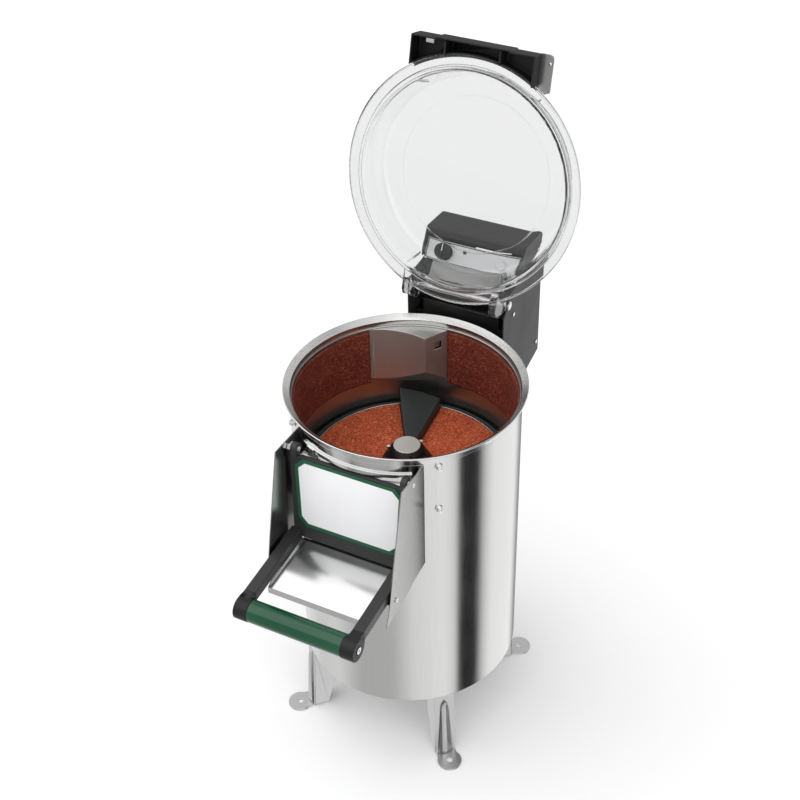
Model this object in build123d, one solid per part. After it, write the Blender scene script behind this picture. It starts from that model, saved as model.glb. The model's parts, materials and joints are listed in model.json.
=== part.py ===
from build123d import *
import math
import os

# Electric potato peeler: stainless drum on four legs, with an abrasive plate turned by a belt drive,
# a clear lid on the rear control column, and a discharge door with a bar handle at the front.
# Millimetres. +Z is up, the front faces -Y, the origin is on the floor on the drum's axis.

# ---- driving dimensions ------------------------------------------------------------------------
SHEET = 1.5                 # stainless sheet
DRUM_R = 170.0              # casing outer radius
CASING_IN_R = DRUM_R - SHEET
WALL_IN_R = 166.0           # chamber wall, inner radius
WALL_OUT_R = 167.2
DRUM_BOTTOM = 126.0
CASING_TOP = 602.0
RIM_R = 178.5
RIM_TOP = 620.0
WALL_TOP = 605.0
PAN_Z = 440.0               # top of the chamber floor
DECK_Z = 332.0              # underside of the motor deck

FOOT_R = 196.0              # foot hole circle radius
FOOT_HOLE_R = 4.5
FOOT_PAD_R = 19.5
LEG_ANGLES = (-45, 45, 135, -135)

PLATE_R = 162.0             # rotating plate
PLATE_TOP = 462.0
GRIT_R = 150.0
GRIT_TOP = 465.0
LIFTER_ANGLES = (109.0, -11.0, -131.0)
LIFTER_HALF = 12.5          # half width of a lifter, degrees
HUB_TOP = 500.0

OUTLET_X = 82.0             # discharge opening, half width
OUTLET_Z0 = 444.0
OUTLET_Z1 = 577.0

PIVOT_Y = -170.5            # door pivot
PIVOT_Z = 590.0
DOOR_LEAN = 0.0652          # forward run of the door face for each unit down
DOOR_TOP = 580.0
DOOR_BOTTOM = 437.0
DOOR_FACE_Y = -175.4        # outer face at DOOR_TOP
DOOR_T = 4.5
GASKET_T = 2.6
CHEEK_X = 97.5              # inner face of a cheek
ARM_X0 = 77.5
ARM_X1 = 94.5
ARM_END = -314.5            # front end of the square bars
GRIP_Y = -332.0
GRIP_Z = 420.0
GRIP_R = 16.5

COLUMN_X = 81.0             # outer face of a side panel
COLUMN_IN = 79.0
COLUMN_BACK = 308.0
COLUMN_TOP = 716.0

HINGE_Y = 183.6             # lid hinge
HINGE_Z = 664.8
HINGE_ROD_R = 5.0
LID_OPEN = 103.8            # degrees from closed to the rest pose
LID_CLOSED_Z = 616.0        # flange plane of the closed lid
LID_R = 182.5
LUG_X0 = 66.0
LUG_X1 = 77.5

PANEL_TOP = (238.0, 719.0)  # control panel, upper edge (y, z)
PANEL_LOW = (216.0, 688.0)  # control panel, lower edge (y, z)

RUN_GAP = 0.06              # radial clearance of running fits

DEFLECTOR_RIGHT = 94.4      # water deflector: right edge on the wall, degrees
DEFLECTOR_LEFT = 137.1      # left edge on the wall, degrees
RIDGE = (-33.0, 129.0)      # its front corner, (x, y)
PIPE_X = -38.0              # water inlet
PIPE_Z = 575.0
INLET_R = 13.2              # 3/4 inch hose thread
INLET_LENGTH = 16.0

DRAIN_R = 20.0
DRAIN_Y = 118.0             # where the drain drops from the chamber floor
DRAIN_Z = 215.0
DRAIN_END = 214.0
HOSE_LENGTH = 40.0          # of the drain stub, for a hose

LEG_T = 2.0
LEG_HALF = 17.0             # half width of a leg's outer face at the drum
LEG_HALF_FOOT = 16.0
LEG_BOLT_RADII = (128.0, 156.0)

SHAFT_R = 12.5
MOTOR_ANGLE = 205.0         # motor's place round the drum axis, degrees
MOTOR_DIST = 102.0
MOTOR_R = 56.0
DRIVEN_R = 66.0             # pulleys
DRIVER_R = 22.0
BELT_Z0 = 346.0
BELT_Z1 = 362.0
HUB_SCREW_ANGLES = (-170.0, -50.0, 70.0)

CABLE_X = 40.0              # mains cable gland
CABLE_Z = 540.0
LID_STOP = (176.6, 686.4)   # y and z of the rubber stops that the open lid leans on
DOME_TOP = 56.0             # height of the lid above its flange
BUFFER_AT = (195.7, 37.4)   # y and z of the left lug's round boss in the closed lid's frame

parts = {}
hex_bolts = []              # legs to bottom cover, motor to deck, chamber to casing
small_screws = []           # cheeks, column panels


# ---- helpers -----------------------------------------------------------------------------------
def block(x0, x1, y0, y1, z0, z1):
    return Pos((x0 + x1) / 2, (y0 + y1) / 2, (z0 + z1) / 2) * Box(x1 - x0, y1 - y0, z1 - z0)


def cyl_z(r, z0, z1, x=0.0, y=0.0):
    return Pos(x, y, (z0 + z1) / 2) * Cylinder(r, z1 - z0)


def cyl_x(r, x0, x1, y, z):
    return Pos((x0 + x1) / 2, y, z) * Rot(0, 90, 0) * Cylinder(r, x1 - x0)


def cyl_y(r, y0, y1, x, z):
    return Pos(x, (y0 + y1) / 2, z) * Rot(90, 0, 0) * Cylinder(r, y1 - y0)


def ring(r_in, r_out, z0, z1, x=0.0, y=0.0):
    return cyl_z(r_out, z0, z1, x, y) - cyl_z(r_in, z0 - 1, z1 + 1, x, y)


def yz_plate(points, x0, x1):
    """A plate between x0 and x1 whose outline is given as (y, z) points."""
    face = Plane.YZ.offset(x0) * make_face(Polyline(*points, close=True))
    return extrude(face, x1 - x0)


def xy_plate(points, z0, z1):
    face = Plane.XY.offset(z0) * make_face(Polyline(*points, close=True))
    return extrude(face, z1 - z0)


def turned(points):
    """A solid turned about Z from (radius, z) points."""
    return revolve(Plane.XZ * make_face(Polyline(*points, close=True)), Axis.Z)


def polar(r, degrees, z=0.0):
    a = math.radians(degrees)
    return (r * math.cos(a), r * math.sin(a), z)


def sector(r_in, r_out, a0, a1, z0, z1):
    """A ring sector from angle a0 to a1, both in degrees."""
    mid = (a0 + a1) / 2
    p0, pm, p1 = (polar(r_out, a)[:2] for a in (a0, mid, a1))
    q0, qm, q1 = (polar(r_in, a)[:2] for a in (a0, mid, a1))
    outline = Curve() + [ThreePointArc(p0, pm, p1), Line(p1, q1), ThreePointArc(q1, qm, q0), Line(q0, p0)]
    return extrude(Plane.XY.offset(z0) * make_face(outline), z1 - z0)


def mirrored(solid):
    return mirror(solid, Plane.YZ)


def hex_prism_x(across, x0, x1, y, z):
    face = Plane.YZ.offset(x0) * Pos(y, z) * RegularPolygon(across / 2, 6, major_radius=False)
    return extrude(face, x1 - x0)


def door_y(z, depth=0.0):
    """Y of the door's outer face at height z, or of a face depth behind it."""
    return DOOR_FACE_Y - (DOOR_TOP - z) * DOOR_LEAN + depth


# ---- drum --------------------------------------------------------------------------------------
def drum():
    outlet_cut = block(-OUTLET_X, OUTLET_X, -DRUM_R - 5, -120, OUTLET_Z0, OUTLET_Z1)
    casing = ring(CASING_IN_R, DRUM_R, DRUM_BOTTOM, CASING_TOP) - outlet_cut
    pipe_hole = cyl_y(9.0, 150, 180, PIPE_X, PIPE_Z)
    drain_hole = cyl_y(DRAIN_R + 0.1, 150, 180, 0, DRAIN_Z)
    cable_hole = cyl_y(12.0, 150, 180, CABLE_X, CABLE_Z)
    parts["drum_casing"] = casing - pipe_hole - drain_hole - cable_hole

    parts["rim_collar"] = turned([
        (CASING_IN_R, CASING_TOP), (DRUM_R, CASING_TOP), (DRUM_R, 610.5), (171.2, 612.6),
        (178.4, 617.0), (179.0, 618.4), (178.8, 619.6), (RIM_R - 0.6, RIM_TOP), (CASING_IN_R + 0.2, 613.7),
        (168.3, 612.0),
    ])

    wall = ring(WALL_IN_R, WALL_OUT_R, PAN_Z - 2, WALL_TOP - 1.2) - outlet_cut - pipe_hole
    bead = turned([
        (WALL_IN_R, WALL_TOP - 1.2), (WALL_OUT_R, WALL_TOP - 1.2), (168.2, WALL_TOP - 0.4),
        (168.0, WALL_TOP + 0.6), (WALL_IN_R + 0.9, WALL_TOP + 1.0), (WALL_IN_R, WALL_TOP),
    ])
    parts["chamber_wall"] = wall + bead

    pan = cyl_z(WALL_IN_R, PAN_Z - 2, PAN_Z) - cyl_z(36.0, PAN_Z - 3, PAN_Z + 1)
    upstand = ring(34.5, 36.0, PAN_Z - 2, PAN_Z + 8)
    parts["chamber_floor"] = pan + upstand - cyl_z(DRAIN_R - 1.5, PAN_Z - 3, PAN_Z + 1, 0, DRAIN_Y)

    # abrasive liners cover the wall each side of the discharge opening, up to the water deflector
    outlet_edge = math.degrees(math.acos((OUTLET_X + 1.5) / WALL_IN_R))
    left = sector(163.5, WALL_IN_R, DEFLECTOR_LEFT + 0.3, 180 + outlet_edge, 505, 600)
    right = sector(163.5, WALL_IN_R, -outlet_edge, DEFLECTOR_RIGHT - 0.3, 505, 600)
    parts["wall_liners"] = Compound([left, right])

    bottom = cyl_z(CASING_IN_R, DRUM_BOTTOM, DRUM_BOTTOM + 2)
    for angle in range(0, 360, 30):
        for radius in (45, 62, 79):
            slot = Rot(0, 0, angle) * Pos(radius, 0, DRUM_BOTTOM + 1) * Box(9, 14, 6)
            bottom = bottom - slot
    for angle in LEG_ANGLES:
        for radius in LEG_BOLT_RADII:
            bottom = bottom - cyl_z(3.1, DRUM_BOTTOM - 1, DRUM_BOTTOM + 3, *polar(radius, angle)[:2])
    parts["bottom_cover"] = bottom


# ---- water deflector and water path --------------------------------------------------------------


def deflector():
    right = polar(WALL_IN_R - 0.2, DEFLECTOR_RIGHT)[:2]
    left = polar(WALL_IN_R - 0.2, DEFLECTOR_LEFT)[:2]
    middle = polar(WALL_IN_R - 0.2, (DEFLECTOR_LEFT + DEFLECTOR_RIGHT) / 2)[:2]

    def outline(inset):
        """Plan of the box; an inset moves the front and the right side in by a sheet's thickness."""
        ridge = (RIDGE[0] - inset * 0.4, RIDGE[1] + inset * 1.2)
        start = (left[0] + inset * 1.5, left[1] + inset)
        end = (right[0] - inset * 1.15, right[1])
        bulge = [(-100 + inset * 0.4, 125 + inset), (-74, 131 + inset), (-52, 131.5 + inset)]
        front = Spline(start, *bulge, ridge)
        back = [Line(ridge, end), ThreePointArc(end, middle, start)]
        return make_face(Curve() + [front] + back)

    bisector = (DEFLECTOR_LEFT + DEFLECTOR_RIGHT) / 2

    def under(depth):
        """Everything below the sloping underside, which runs from the ridge down to the wall."""
        slope = [(120, 554 + depth), (WALL_IN_R + 8, 490 + depth), (WALL_IN_R + 8, 440), (120, 440)]
        wedge = yz_plate(slope, -120, 120)
        return Rot(0, 0, bisector - 90) * wedge

    outer = extrude(Plane.XY.offset(492) * outline(0), 604 - 492, dir=(0, 0, 1)) - under(0)
    inner = extrude(Plane.XY.offset(490) * outline(SHEET), 602.5 - 490, dir=(0, 0, 1)) - under(1.8)
    shell = outer - inner
    face_angle = math.degrees(math.atan2(right[1] - RIDGE[1], right[0] - RIDGE[0]))
    mid_x = (RIDGE[0] + right[0]) / 2 + 1.5
    mid_y = (RIDGE[1] + right[1]) / 2 + 3.0
    window = Pos(mid_x, mid_y, 583) * Rot(0, 0, face_angle) * Box(13, 8, 13)
    parts["water_deflector"] = shell - window - cyl_y(8.3, 150, 175, PIPE_X, PIPE_Z)
    nozzle = Pos(mid_x - 5.5, mid_y + 3.0, 583) * Rot(0, 0, face_angle) * Box(12, 5, 12)
    nozzle = nozzle + block(PIPE_X, mid_x - 6, 149, 155, 578, 588)
    pipe = cyl_y(8.0, 149, 222, PIPE_X, PIPE_Z) - cyl_y(6.0, 155, 230, PIPE_X, PIPE_Z)
    parts["spray_pipe"] = pipe + nozzle
    body = block(PIPE_X - 16, PIPE_X + 16, 222, 262, PIPE_Z - 14, PIPE_Z + 14)
    coil = cyl_z(13, PIPE_Z + 14, PIPE_Z + 46, PIPE_X, 242)
    inlet = cyl_y(9.0, 262, COLUMN_BACK, PIPE_X, PIPE_Z)
    flange = cyl_y(18.0, COLUMN_BACK, COLUMN_BACK + 4, PIPE_X, PIPE_Z)
    stub = cyl_y(INLET_R, COLUMN_BACK + 4, COLUMN_BACK + 4 + INLET_LENGTH, PIPE_X, PIPE_Z)
    bore = cyl_y(6.0, 256, COLUMN_BACK + 40, PIPE_X, PIPE_Z)
    parts["water_inlet_valve"] = body + coil + inlet + flange + stub - bore


# ---- drain ---------------------------------------------------------------------------------------


def drain():
    drop = cyl_z(DRAIN_R, DRAIN_Z, PAN_Z - 2, 0, DRAIN_Y) + Pos(0, DRAIN_Y, DRAIN_Z) * Sphere(DRAIN_R)
    outlet = cyl_y(DRAIN_R, DRAIN_Y, DRAIN_END, 0, DRAIN_Z)
    bore = cyl_z(DRAIN_R - 1.5, DRAIN_Z, PAN_Z, 0, DRAIN_Y) + Pos(0, DRAIN_Y, DRAIN_Z) * Sphere(DRAIN_R - 1.5)
    bore = bore + cyl_y(DRAIN_R - 1.5, DRAIN_Y, DRAIN_END + 1, 0, DRAIN_Z)
    collar = cyl_y(DRAIN_R + 3, DRAIN_END - HOSE_LENGTH - 3, DRAIN_END - HOSE_LENGTH, 0, DRAIN_Z)
    parts["drain_pipe"] = drop + outlet + collar - bore


# ---- legs ----------------------------------------------------------------------------------------


def one_leg(angle):
    """A leg folded from sheet: outer face, two tapering cheeks, a foot pad and a top flange."""
    top = DRUM_BOTTOM
    outline = [(-LEG_HALF_FOOT, 0), (LEG_HALF_FOOT, 0), (LEG_HALF, top), (-LEG_HALF, top)]
    face = yz_plate(outline, -LEG_T / 2, LEG_T / 2)
    tilt = math.degrees(math.atan2(6.0, top))
    face = Pos(175.0, 0, 0) * Rot(0, -tilt, 0) * face
    side_shape = [(174.6, 3), (150, 3), (132, 72), (119, top), (168.9, top)]
    side = Plane.XZ.offset(-LEG_HALF_FOOT + 0.2) * make_face(Polyline(*side_shape, close=True))
    side = extrude(side, LEG_T)
    cheeks = side + mirror(side, Plane.XZ)
    pad = cyl_z(FOOT_PAD_R, 0, 3, FOOT_R) + block(173.5, FOOT_R, -LEG_HALF_FOOT, LEG_HALF_FOOT, 0, 3)
    flange = block(116, 168.9, -LEG_HALF_FOOT + 0.2, LEG_HALF_FOOT - 0.2, top - LEG_T, top)
    leg = face + cheeks + pad + flange
    leg = leg - block(100, 260, -40, 40, -10, 0) - block(100, 260, -40, 40, top, top + 20)
    leg = leg - cyl_z(FOOT_HOLE_R, -1, 5, FOOT_R)
    for radius in LEG_BOLT_RADII:
        leg = leg - cyl_z(3.1, top - 4, top + 1, radius)
    return Rot(0, 0, angle) * leg


def legs():
    folded = []
    for angle in LEG_ANGLES:
        folded.append(one_leg(angle))
        for radius in LEG_BOLT_RADII:
            shank = cyl_z(3.0, DRUM_BOTTOM - 7, DRUM_BOTTOM + 8, radius)
            head = cyl_z(5.5, DRUM_BOTTOM - 7.5, DRUM_BOTTOM - LEG_T, radius)
            nut = cyl_z(5.0, DRUM_BOTTOM + 2, DRUM_BOTTOM + 7, radius)
            hex_bolts.append(Rot(0, 0, angle) * (shank + head + nut))
    parts["legs"] = Compound(folded)


# ---- drive ---------------------------------------------------------------------------------------


def drive():
    mx, my = polar(MOTOR_DIST, MOTOR_ANGLE)[:2]
    parts["main_shaft"] = cyl_z(SHAFT_R, DECK_Z + 8, 489)
    housing = ring(31.0, 36.0, 374, PAN_Z - 8)
    flange = ring(31.0, 62.0, PAN_Z - 8, PAN_Z - 2)
    parts["bearing_housing"] = housing + flange + ring(SHAFT_R + 3, 31.0, 400, 412)
    parts["bearings"] = Compound([ring(SHAFT_R + RUN_GAP, 31.0, z0, z0 + 14) for z0 in (386, 412)])
    parts["shaft_seal"] = ring(SHAFT_R + RUN_GAP, 31.0, 428, 436)
    groove = ring(DRIVEN_R - 4, DRIVEN_R + 1, BELT_Z0, BELT_Z1)
    parts["driven_pulley"] = ring(SHAFT_R, DRIVEN_R, BELT_Z0 - 3, BELT_Z1 + 3) - groove
    small_groove = ring(DRIVER_R - 4, DRIVER_R + 1, BELT_Z0, BELT_Z1, mx, my)
    pulley = cyl_z(DRIVER_R, BELT_Z0 - 3, BELT_Z1 + 3, mx, my) - small_groove
    parts["motor_pulley"] = pulley + cyl_z(8.0, DECK_Z - 1, BELT_Z1 + 6, mx, my)

    # the belt lies round both pulleys; its inside is 0.3 mm off them
    def loop(extra):
        r0, r1 = DRIVEN_R - 4 + extra, DRIVER_R - 4 + extra
        lean = math.degrees(math.acos((r0 - r1) / MOTOR_DIST))
        a, b = MOTOR_ANGLE + lean, MOTOR_ANGLE - lean
        p0, p1 = polar(r0, a)[:2], polar(r0, b)[:2]
        q0 = (mx + polar(r1, a)[0], my + polar(r1, a)[1])
        q1 = (mx + polar(r1, b)[0], my + polar(r1, b)[1])
        far = polar(r0, MOTOR_ANGLE + 180)[:2]
        near = (mx + polar(r1, MOTOR_ANGLE)[0], my + polar(r1, MOTOR_ANGLE)[1])
        line = Curve() + [ThreePointArc(p1, far, p0), Line(p0, q0), ThreePointArc(q0, near, q1), Line(q1, p1)]
        return extrude(Plane.XY.offset(BELT_Z0 + 1) * make_face(line), BELT_Z1 - BELT_Z0 - 2)

    parts["drive_belt"] = loop(3.5) - loop(0.3)

    deck = cyl_z(CASING_IN_R, DECK_Z, DECK_Z + 3) - cyl_z(DRAIN_R + 1, DECK_Z - 1, DECK_Z + 4, 0, DRAIN_Y)
    deck = deck - cyl_z(14.0, DECK_Z - 1, DECK_Z + 4, mx, my)
    motor = cyl_z(MOTOR_R, 188, DECK_Z - 3, mx, my) + cyl_z(30.0, DECK_Z - 4, DECK_Z, mx, my)
    motor = motor + cyl_z(MOTOR_R + 1.5, 158, 190, mx, my) - cyl_z(8.5, DECK_Z - 12, DECK_Z + 1, mx, my)
    for step in (45, 135, 225, 315):
        bx, by = mx + polar(38.0, step)[0], my + polar(38.0, step)[1]
        deck = deck - cyl_z(4.1, DECK_Z - 1, DECK_Z + 4, bx, by)
        motor = motor - cyl_z(4.1, DECK_Z - 20, DECK_Z, bx, by)
        shank = cyl_z(4.0, DECK_Z - 18, DECK_Z + 4, bx, by)
        hex_bolts.append(shank + cyl_z(7.0, DECK_Z + 3, DECK_Z + 8, bx, by))
    parts["motor_deck"] = deck
    parts["motor"] = motor


# ---- rotating plate ------------------------------------------------------------------------------
def rotating_plate():
    disc = cyl_z(PLATE_R, PLATE_TOP - 8, PLATE_TOP) - cyl_z(GRIT_R + 4, PLATE_TOP - 9, PLATE_TOP - 4)
    hub_boss = cyl_z(40.0, PLATE_TOP - 8, PLATE_TOP)
    rim_lip = ring(GRIT_R + 1.5, GRIT_R + 3.5, PLATE_TOP, PLATE_TOP + 1.5)
    parts["plate_disc"] = disc + hub_boss + rim_lip - cyl_z(SHAFT_R, PLATE_TOP - 10, PLATE_TOP + 10)

    cone = turned([
        (SHAFT_R, PLATE_TOP), (40.0, PLATE_TOP), (40.0, 470), (37.0, 476), (31.5, 485), (26.0, 495),
        (21.5, HUB_TOP), (12.0, HUB_TOP), (12.0, 489), (SHAFT_R, 489),
    ])
    cone_space = turned([
        (0, PLATE_TOP - 1), (40.0, PLATE_TOP - 1), (40.0, 470), (37.0, 476), (31.5, 485), (26.0, 495),
        (21.5, HUB_TOP), (0, HUB_TOP),
    ])
    screws = []
    for angle in HUB_SCREW_ANGLES:
        x, y, z = polar(29.0, angle, 489.0)
        screws.append(cyl_z(2.6, z - 4, z + 4.5, x, y))
        cone = cone - cyl_z(2.6, z - 4, z + 20, x, y) - cyl_z(4.4, z + 1.5, z + 20, x, y)
    parts["hub_cone"] = cone
    parts["hub_screws"] = Compound(screws)
    cap = cyl_z(20.5, HUB_TOP, HUB_TOP + 2.6) + cyl_z(12.0, 489, HUB_TOP)
    parts["hub_cap"] = cap

    lifters = []
    sectors = []
    for angle in LIFTER_ANGLES:
        a0, a1 = angle - LIFTER_HALF, angle + LIFTER_HALF
        wedge = sector(24.0, GRIT_R, a0, a1, PLATE_TOP, 510)
        low = Vector(*polar(GRIT_R, a0, 482))
        high = Vector(*polar(GRIT_R, a1, 498))
        inner = Vector(*polar(28.0, angle, 485))
        slope = Plane(inner, x_dir=low - inner, z_dir=(low - inner).cross(high - inner).normalized())
        cutter = slope * Pos(0, 0, 60) * Box(600, 600, 120)
        lifters.append(wedge - cutter - cone_space)
        end = angle + 120 - LIFTER_HALF - 0.4
        sectors.append(sector(40.3, GRIT_R, angle + LIFTER_HALF + 0.4, end, PLATE_TOP, GRIT_TOP))
    parts["plate_lifters"] = Compound(lifters)
    parts["abrasive_sectors"] = Compound(sectors)


# ---- discharge opening, cheeks and tray ------------------------------------------------------------
OUTLET_INSIDE = block(-OUTLET_X + SHEET, OUTLET_X - SHEET, -210, -120, OUTLET_Z0 + SHEET, OUTLET_Z1 - SHEET)


def discharge():
    sleeve = block(-OUTLET_X, OUTLET_X, -200, -130, OUTLET_Z0, OUTLET_Z1)
    behind = DOOR_T + GASKET_T + 0.3
    front = [(door_y(OUTLET_Z1 + 5, behind), OUTLET_Z1 + 5), (door_y(OUTLET_Z0 - 5, behind), OUTLET_Z0 - 5),
             (-230, OUTLET_Z0 - 5), (-230, OUTLET_Z1 + 5)]
    sleeve = sleeve - OUTLET_INSIDE - yz_plate(front, -120, 120) - cyl_z(WALL_IN_R, 430, 600)
    # curved edge strip along the top of the opening, outside the casing
    half = math.degrees(math.asin(86.0 / 172.0))
    roll = sector(DRUM_R, 173.2, -90 - half, -90 + half, 582.0, 588.6)
    tab = sector(DRUM_R, 175.0, -116, -111, 582.4, 588.0)
    parts["outlet_frame"] = Compound([sleeve, roll + tab])

    outline = [(-134, 420), (-139, 602), (-205, 603), (-230, 502), (-237, 473), (-248, 424), (-259, 396),
               (-206, 403), (-172, 414)]
    drum_space = cyl_z(DRUM_R, 300, 700)
    for side, sign in (("right", 1), ("left", -1)):
        cheek = yz_plate(outline, CHEEK_X, CHEEK_X + SHEET) - drum_space
        for y, z, r in ((PIVOT_Y, PIVOT_Z, 4.0), (-229.4, 425.6, 2.0)):
            cheek = cheek - cyl_x(r, CHEEK_X - 2, CHEEK_X + 4, y, z)
        parts["cheek_" + side] = cheek if sign > 0 else mirrored(cheek)

    # tray: floor, side walls between the lever arms, tabs that reach the cheeks
    def floor_z(y):
        return 433.0 + (y + 193.0) * 0.1033

    floor = yz_plate([(-173, floor_z(-173)), (-283, floor_z(-283)), (-283, floor_z(-283) - SHEET),
                      (-173, floor_z(-173) - SHEET)], -76.8, 76.8)
    lip_shape = [(-283, floor_z(-283)), (-284.5, floor_z(-283) - 0.5), (-284.5, 412), (-283, 412)]
    lip = yz_plate(lip_shape, -76.8, 76.8)
    back = block(-70, 70, -174.5, -173, floor_z(-173) - 1, OUTLET_Z0)
    wall = yz_plate([(-186, floor_z(-186)), (-186, floor_z(-186) + 4), (-276, floor_z(-276) + 3),
                     (-283, floor_z(-283))], 75.3, 76.8)
    tab = yz_plate([(-200, floor_z(-200)), (-245, floor_z(-245)), (-245, floor_z(-245) - SHEET),
                    (-200, floor_z(-200) - SHEET)], 76.8, CHEEK_X)
    ear = block(CHEEK_X - SHEET, CHEEK_X, -241, -216, 414, 434)
    ear = ear - cyl_x(2.0, CHEEK_X - 4, CHEEK_X + 1, -229.4, 425.6)
    wing = wall + tab + ear
    parts["tray"] = floor + lip + back + wing + mirrored(wing)

    pivots = []
    nuts = []
    for flip in (False, True):
        shank = cyl_x(2.0, 93.5, CHEEK_X + SHEET, -229.4, 425.6)
        head = cyl_x(3.6, CHEEK_X + SHEET, CHEEK_X + SHEET + 2.2, -229.4, 425.6)
        screw = shank + head - hex_prism_x(2.4, CHEEK_X + SHEET + 1.0, CHEEK_X + 5, -229.4, 425.6)
        pin = cyl_x(4.0, 80.5, CHEEK_X + SHEET + 0.8, PIVOT_Y, PIVOT_Z)
        nut = hex_prism_x(13.0, 92.0, 97.0, PIVOT_Y, PIVOT_Z) - cyl_x(4.0, 91, 98, PIVOT_Y, PIVOT_Z)
        small_screws.append(mirrored(screw) if flip else screw)
        pivots.append(mirrored(pin) if flip else pin)
        nuts.append(mirrored(nut) if flip else nut)
    parts["door_pivots"] = Compound(pivots + nuts)
    for angle in (-47.4, -180 + 47.4):
        for z in (518.0, 594.0):
            shank = Rot(0, 0, angle) * cyl_x(2.5, WALL_OUT_R + 0.1, DRUM_R + 8, 0, z)
            washer = Rot(0, 0, angle) * cyl_x(6.2, DRUM_R - 0.4, DRUM_R + 1.6, 0, z)
            nut = Rot(0, 0, angle) * hex_prism_x(8.5, DRUM_R + 1.6, DRUM_R + 6.4, 0, z)
            hex_bolts.append(washer + nut - cyl_z(DRUM_R, z - 10, z + 10) + shank)
            parts["drum_casing"] = parts["drum_casing"] - shank


# ---- door with its lever ---------------------------------------------------------------------------
def door():
    def slab(z_top, z_low, x_top, x_low, front, back, corner):
        """A leaning plate between two depths behind the door face, with its four corners cut."""
        right = [(x_top - corner, z_top), (x_top, z_top - corner)]
        right = right + [(x_low, z_low + corner), (x_low - corner, z_low)]
        pts = right + [(-x, z) for x, z in reversed(right)]
        face = Plane.XZ.offset(300) * make_face(Polyline(*pts, close=True))
        prism = extrude(face, -300)
        keep = yz_plate([(door_y(700, front), 700), (door_y(300, front), 300), (door_y(300, back), 300),
                         (door_y(700, back), 700)], -150, 150)
        return prism & keep

    frame = slab(DOOR_TOP, DOOR_BOTTOM, 93.5, 91.0, 0, DOOR_T, 9.0)
    frame = frame - cyl_z(DRUM_R + 0.4, 400, 600)
    for sign in (1, -1):
        x0, x1 = (82.0, 91.0) if sign > 0 else (-91.0, -82.0)
        root = [(door_y(560, 1.0), 560), (door_y(560, DOOR_T - 0.5), 560)]
        top = [(PIVOT_Y + 7.2, PIVOT_Z - 4), (PIVOT_Y + 5, PIVOT_Z + 4), (PIVOT_Y - 8.0, PIVOT_Z + 2)]
        ear = yz_plate(root + top, x0, x1)
        boss = cyl_x(8.5, x0, x1, PIVOT_Y, PIVOT_Z)
        bore = cyl_x(4.0 + RUN_GAP, x0 - 1, x1 + 1, PIVOT_Y, PIVOT_Z)
        frame = frame + ear + boss - bore
    parts["door_frame"] = frame

    parts["door_label_plate"] = slab(577.5, 459.5, 86.0, 82.5, -1.0, 0, 13.0)
    gasket = slab(OUTLET_Z1 + 2.5, OUTLET_Z0 + 0.5, 81.8, 81.8, DOOR_T, DOOR_T + GASKET_T, 4.0)
    gasket = gasket - slab(OUTLET_Z1 - 5, OUTLET_Z0 + 6.5, 76, 76, DOOR_T - 1, DOOR_T + 4, 3.0)
    gasket = gasket - cyl_z(DRUM_R + 0.4, 400, 600)
    parts["door_gasket"] = gasket

    # lever arms run from the lower corners of the door to the grip
    rear_z, front_z = 443.6, 428.0

    def arm_line(y):
        return front_z + (y - GRIP_Y) * (rear_z - front_z) / (-184.8 - GRIP_Y)

    arms = []
    elbows = []
    for flip in (False, True):
        outline = [(door_y(arm_line(-185) + 8.5), arm_line(-185) + 8.5), (ARM_END, arm_line(ARM_END) + 8.5),
                   (ARM_END, arm_line(ARM_END) - 8.5), (door_y(arm_line(-185) - 8.5), arm_line(-185) - 8.5)]
        arm = yz_plate(outline, ARM_X0, ARM_X1)
        knuckle = cyl_x(GRIP_R + 0.6, 74, 95.5, GRIP_Y, GRIP_Z)
        neck = yz_plate([(ARM_END, arm_line(ARM_END) + 8.5), (GRIP_Y + 3, GRIP_Z + GRIP_R + 0.2),
                         (GRIP_Y - 2, GRIP_Z), (GRIP_Y + 5, GRIP_Z - GRIP_R + 0.5),
                         (ARM_END, arm_line(ARM_END) - 8.5)], ARM_X0, ARM_X1)
        bore = cyl_x(6.0, 70, 96, GRIP_Y, GRIP_Z)
        elbow = knuckle + neck - bore - cyl_x(5.2, 92, 97, GRIP_Y, GRIP_Z)
        arms.append(mirrored(arm) if flip else arm)
        elbows.append(mirrored(elbow) if flip else elbow)
    parts["lever_arms"] = Compound(arms)
    parts["grip_elbows"] = Compound(elbows)
    parts["grip_tube"] = cyl_x(GRIP_R, -74, 74, GRIP_Y, GRIP_Z) - cyl_x(GRIP_R - 2.5, -75, 75, GRIP_Y, GRIP_Z)
    screw = cyl_x(5.2, 92.0, 96.3, GRIP_Y, GRIP_Z) - hex_prism_x(4.5, 94.5, 97, GRIP_Y, GRIP_Z)
    parts["grip_rod"] = cyl_x(6.0, -92.0, 92.0, GRIP_Y, GRIP_Z) + screw + mirrored(screw)


# ---- control column --------------------------------------------------------------------------------


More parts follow.
